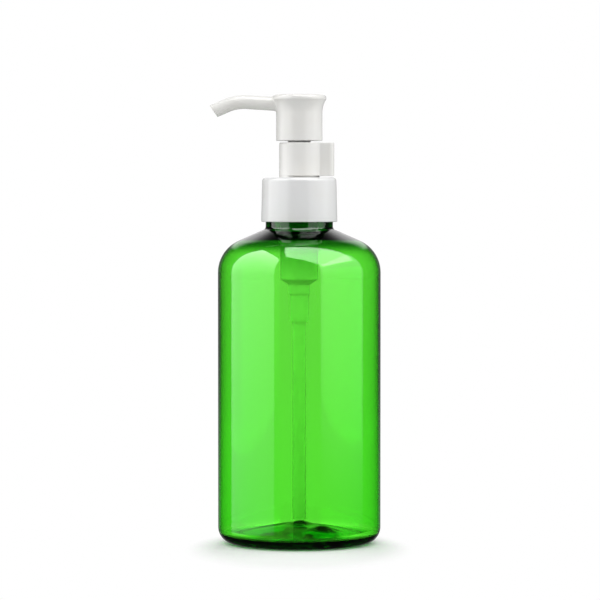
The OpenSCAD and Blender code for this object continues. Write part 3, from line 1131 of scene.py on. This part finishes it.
@dataclass
class ReturnSpring(Part):
    """Coil spring with closed ends."""

    low: float = low_of("return_spring")
    high: float = high_of("return_spring")
    wire_r: float = 0.4
    coil_r: float = 4.9
    coils: float = 8.5
    sides: int = 14
    steps_per_coil: int = 40
    stroke: float = 11.5

    def height(self, u: float) -> float:
        """Height of the wire's centre after a number of coils from the low end."""
        low, high, closed = self.low + self.wire_r, self.high - self.wire_r, 2 * self.wire_r + 0.05
        if u < 1:
            return low + closed * u
        if u > self.coils - 1:
            return high - closed * (self.coils - u)
        return low + closed + (high - low - 2 * closed) * (u - 1) / (self.coils - 2)

    def shape(self) -> MeshData:
        """Vertices and faces of the spring."""
        rings = []
        steps = round(self.coils * self.steps_per_coil)
        for i in range(steps + 1):
            u = self.coils * i / steps
            out = Vector((math.cos(2 * math.pi * u), math.sin(2 * math.pi * u), 0.0))
            centre = out * self.coil_r + Vector((0.0, 0.0, self.height(u)))
            angles = (2 * math.pi * k / self.sides for k in range(self.sides))
            rings.append([
                centre + out * (self.wire_r * math.cos(a)) + Vector((0, 0, self.wire_r * math.sin(a)))
                for a in angles
            ])
        return lofted(rings)


@dataclass
class InnerParts:
    """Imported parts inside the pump, which keep their shape and get a finish."""

    finishes: dict[str, Finish]

    def dress(self) -> None:
        """Gives each part its finish."""
        for name, finish in self.finishes.items():
            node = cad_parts[name]
            node.data.materials.clear()
            node.data.materials.append(finish.material())
            LOG.info("%s: packed shape in %s", name, finish.value[0])


class Light(Enum):
    """What a lamp panel lights: glossy surfaces with its mirror image, or matt ones with its glow."""

    GLOSS = "gloss"
    MATT = "matt"


@dataclass
class Panel:
    """Soft box: a rectangular lamp whose brightness may change over its face."""

    name: str
    light: Light
    centre: Triple
    across: Triple
    upward: Triple
    low: float
    high: float
    near: float = 0.0
    fade: float = 0.0

    def build(self) -> None:
        """Makes the lamp. It shines away from the cross product of its two edges.

        The light grows from low to high along the upward edge, by the share near towards the start of the
        across edge, and from nothing over the share fade at its foot. No lamp is seen straight through the
        green wall, and only a gloss one is seen in reflections.
        """
        across, upward = Vector(self.across), Vector(self.upward)
        data = bpy.data.lights.new(self.name, "AREA")
        data.shape = "RECTANGLE"
        data.size, data.size_y = across.length, upward.length
        data.energy = LAMP_WATTS_PER_M2 * data.size * data.size_y
        data.use_nodes = True
        graph = Graph(data.node_tree)
        along, up, _ = graph.axes(graph.add("NewGeometry").outputs["Parametric"])
        strength = (self.low + (self.high - self.low) * up) * (1 + self.near * (1 - along))
        if self.fade:
            strength = strength * up.step(0.0, self.fade)
        rays = Rays(graph)
        straight_through = rays.met("Transmission") * (1 - rays.sent_back())
        glow = graph.white_light(strength * (1 - straight_through))
        graph.add("OutputLight", {"Surface": glow})
        lamp = in_scene(self.name, data)
        x = across.normalized()
        z = x.cross(upward).normalized()
        turn = Matrix((x, z.cross(x), z)).transposed()
        lamp.matrix_world = Matrix.Translation(self.centre) @ turn.to_4x4()
        lamp.visible_camera = False
        if self.light is Light.GLOSS:
            lamp.visible_diffuse = False
        else:
            lamp.visible_glossy = False
            lamp.visible_transmission = False


@dataclass
class Studio:
    """Floor, surroundings, lamps and camera, in metres.

    A range is where a smooth step starts and ends, as a part of a unit direction for the surroundings and a
    distance for the floor. The white surroundings end upwards at white_end. In reflections they are dark, but
    for a white patch low behind the bottle and a grey zone about it.
    """

    camera_at: Triple = (0.00026, -1.147, 0.132)
    camera_aim: Triple = (0.00026, 0.0, 0.0898)
    camera_clip: Range = (0.01, 50.0)
    lens_mm: float = 186.6
    sensor_mm: float = 36.0
    ambient: float = 0.4
    inside_light: float = 1.0
    front_end: Range = (-0.25, 0.05)
    white_end: Range = (0.42, 0.72)
    patch_back: Range = (0.66, 0.93)
    patch_low: Range = (-0.02, 0.08)
    patch_slope: float = 0.9
    mirror_front: float = 0.02
    mirror_edge: float = 0.13
    mirror_back: Range = (0.84, 0.92)
    floor_colour: float = 0.88
    floor_bounce: float = 0.6
    floor_plain: Range = (0.026, 0.042)
    floor_size: float = 6.0
    floor_drop: float = 0.00003
    shadow_ahead: float = 0.022
    shadow_stretch: float = 1.6

    def camera(self) -> None:
        """Makes the camera at the photograph's angle."""
        data = bpy.data.cameras.new("camera")
        data.lens, data.sensor_width = self.lens_mm, self.sensor_mm
        data.clip_start, data.clip_end = self.camera_clip
        camera = in_scene("camera", data)
        camera.location = self.camera_at
        sight = Vector(self.camera_aim) - camera.location
        camera.rotation_euler = sight.to_track_quat("-Z", "Y").to_euler()
        bpy.context.scene.camera = camera

    def world(self) -> None:
        """Makes the surroundings: white to look at, dim above and in front for reflections.

        Matt surfaces get the ambient light. Those behind the green wall get inside_light from the front.
        """
        world = bpy.data.worlds.new("studio")
        world.use_nodes = True
        bpy.context.scene.world = world
        graph = Graph(world.node_tree)
        rays = Rays(graph)
        camera, bounced, matt = rays.is_a("Camera"), rays.met("Glossy"), rays.met("Diffuse")
        aside, back, up = graph.axes(graph.add("TexCoord").outputs["Generated"])
        level = 1 - up.step(*self.white_end)
        before = 1 - back.step(*self.front_end)
        patch = back.step(*self.patch_back) * (up - self.patch_slope * abs(aside)).step(*self.patch_low)
        edge = self.mirror_front + self.mirror_edge * back.step(*self.mirror_back)
        mirrored = edge + (1 - edge) * level * patch
        direct = (1 - matt) * level
        scattered = matt * (self.ambient + (self.inside_light - self.ambient) * before)
        through = rays.is_a("Transmission") * (1 - bounced)
        gleam = rays.is_a("Glossy").or_else(bounced)
        around = gleam * mirrored + (1 - gleam) * self.ambient
        seen = through * (direct + scattered) + (1 - through) * around
        strength = camera + (1 - camera) * seen
        sky = graph.add("Background", {"Color": (1, 1, 1, 1), "Strength": strength})
        graph.add("OutputWorld", {"Surface": sky.outputs[0]})

    def floor(self) -> None:
        """Makes the floor, which keeps the soft shadow and fades to plain white away from the bottle."""
        mesh = bpy.data.meshes.new("floor")
        half = self.floor_size / 2
        corners = [(-half, -half, 0), (half, -half, 0), (half, half, 0), (-half, half, 0)]
        mesh.from_pydata(corners, [], [(0, 1, 2, 3)])
        floor = in_scene("floor", mesh)
        floor.location.z = -self.floor_drop
        material, graph = new_material("floor_white")
        across, along, _ = graph.axes(graph.place())
        ahead = (along + self.shadow_ahead) / self.shadow_stretch
        away = across * across + ahead * ahead
        rays = Rays(graph)
        straight_through = rays.is_a("Transmission") * (1 - rays.sent_back())
        looked_at = rays.is_a("Camera").or_else(straight_through)
        shade = graph.blend(looked_at, [self.floor_bounce] * 3, [self.floor_colour] * 3)
        matt = graph.add("BsdfDiffuse", {"Color": shade})
        plain = looked_at * away.step(*(r ** 2 for r in self.floor_plain))
        surface = graph.mix_shaders(plain, matt.outputs[0], graph.white_light(1.0))
        graph.add("OutputMaterial", {"Surface": surface})
        mesh.materials.append(material)
        floor.visible_glossy = False

    def lamps(self) -> None:
        """Makes the soft boxes that show as reflections, and the even light for matt surfaces."""
        gloss, matt = Light.GLOSS, Light.MATT
        tall, low_tall = (0.0, 0.0, 0.94), (0.0, 0.0, 0.57)
        boxes = (
            Panel("left_box", gloss, (-0.40, -0.22, 0.35), (0.0, -0.71, 0.0), tall, 0.22, 3.9, near=0.45),
            Panel("right_box", gloss, (0.40, -0.32, 0.215), (0.0, 0.76, 0.0), low_tall, 0.25, 2.0, fade=0.2),
            Panel("top_box", gloss, (0.18, -0.30, 0.804), (0.13, 0.775, 0.0), (-0.809, 0.355, 0.6), 2.9, 4.3),
        )
        glows = (
            ("left_glow", (-0.5, -0.05, 0.36), (0.0, -0.8, 0.0), tall, 0.88),
            ("right_glow", (0.5, -0.05, 0.36), (0.0, 0.8, 0.0), tall, 0.95),
            ("front_glow", (0.0, -0.8, 0.45), (0.9, 0.0, 0.0), (0.0, 0.0, 0.5), 0.4),
            ("top_glow", (0.0, -0.15, 0.85), (1.0, 0.0, 0.0), (0.0, 1.0, 0.0), 0.8),
        )
        for box in boxes:
            box.build()
        for name, centre, across, upward, level in glows:
            Panel(name, matt, centre, across, upward, level, level).build()

    def build(self) -> None:
        """Makes the whole studio."""
        self.camera()
        self.world()
        self.floor()
        self.lamps()


def main() -> None:
    """Builds the studio and every piece in order."""
    logging.basicConfig(level=logging.INFO, format="%(message)s")
    bpy.context.scene.view_settings.view_transform = "Standard"
    Studio().build()
    Bottle().add("bottle_body", "bottle", Finish.GREEN, ["bottle"])
    closure = Closure().add("screw_closure", "closure", Finish.WHITE, ["closure"])
    closure.visible_glossy = False  # the photograph's shoulder doesn't mirror it
    GuideSleeve().add("sleeve", "pump", Finish.WARM_WHITE, ["guide_sleeve"])
    LockClip().add("clip", "lock_clip", Finish.WARM_WHITE, ["lock_clip"])
    head = PumpHead()
    head.add("head", "head", Finish.WARM_WHITE, ["pump_head"])
    Spout(head).add("spout", "head", Finish.WARM_WHITE, ["pump_head"])
    spring_form = ReturnSpring()
    spring = spring_form.add("coil_spring", "pump", Finish.STEEL, ["return_spring"])
    free_l = spring_form.high - spring_form.low
    spring_form.low * MM
    (free_l - spring_form.stroke) / free_l
    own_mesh(spring)
    InnerParts({
        "neck_gasket": Finish.SOFT_WHITE,
        "stem": Finish.SOFT_WHITE,
        "piston": Finish.NATURAL,
        "pump_housing": Finish.MILKY,
        "ball_cage": Finish.SOFT_WHITE,
        "dip_tube": Finish.MILKY,
        "inlet_ball": Finish.STEEL,
        "outlet_ball": Finish.STEEL,
    }).dress()


if __name__ == "__main__":
    main()
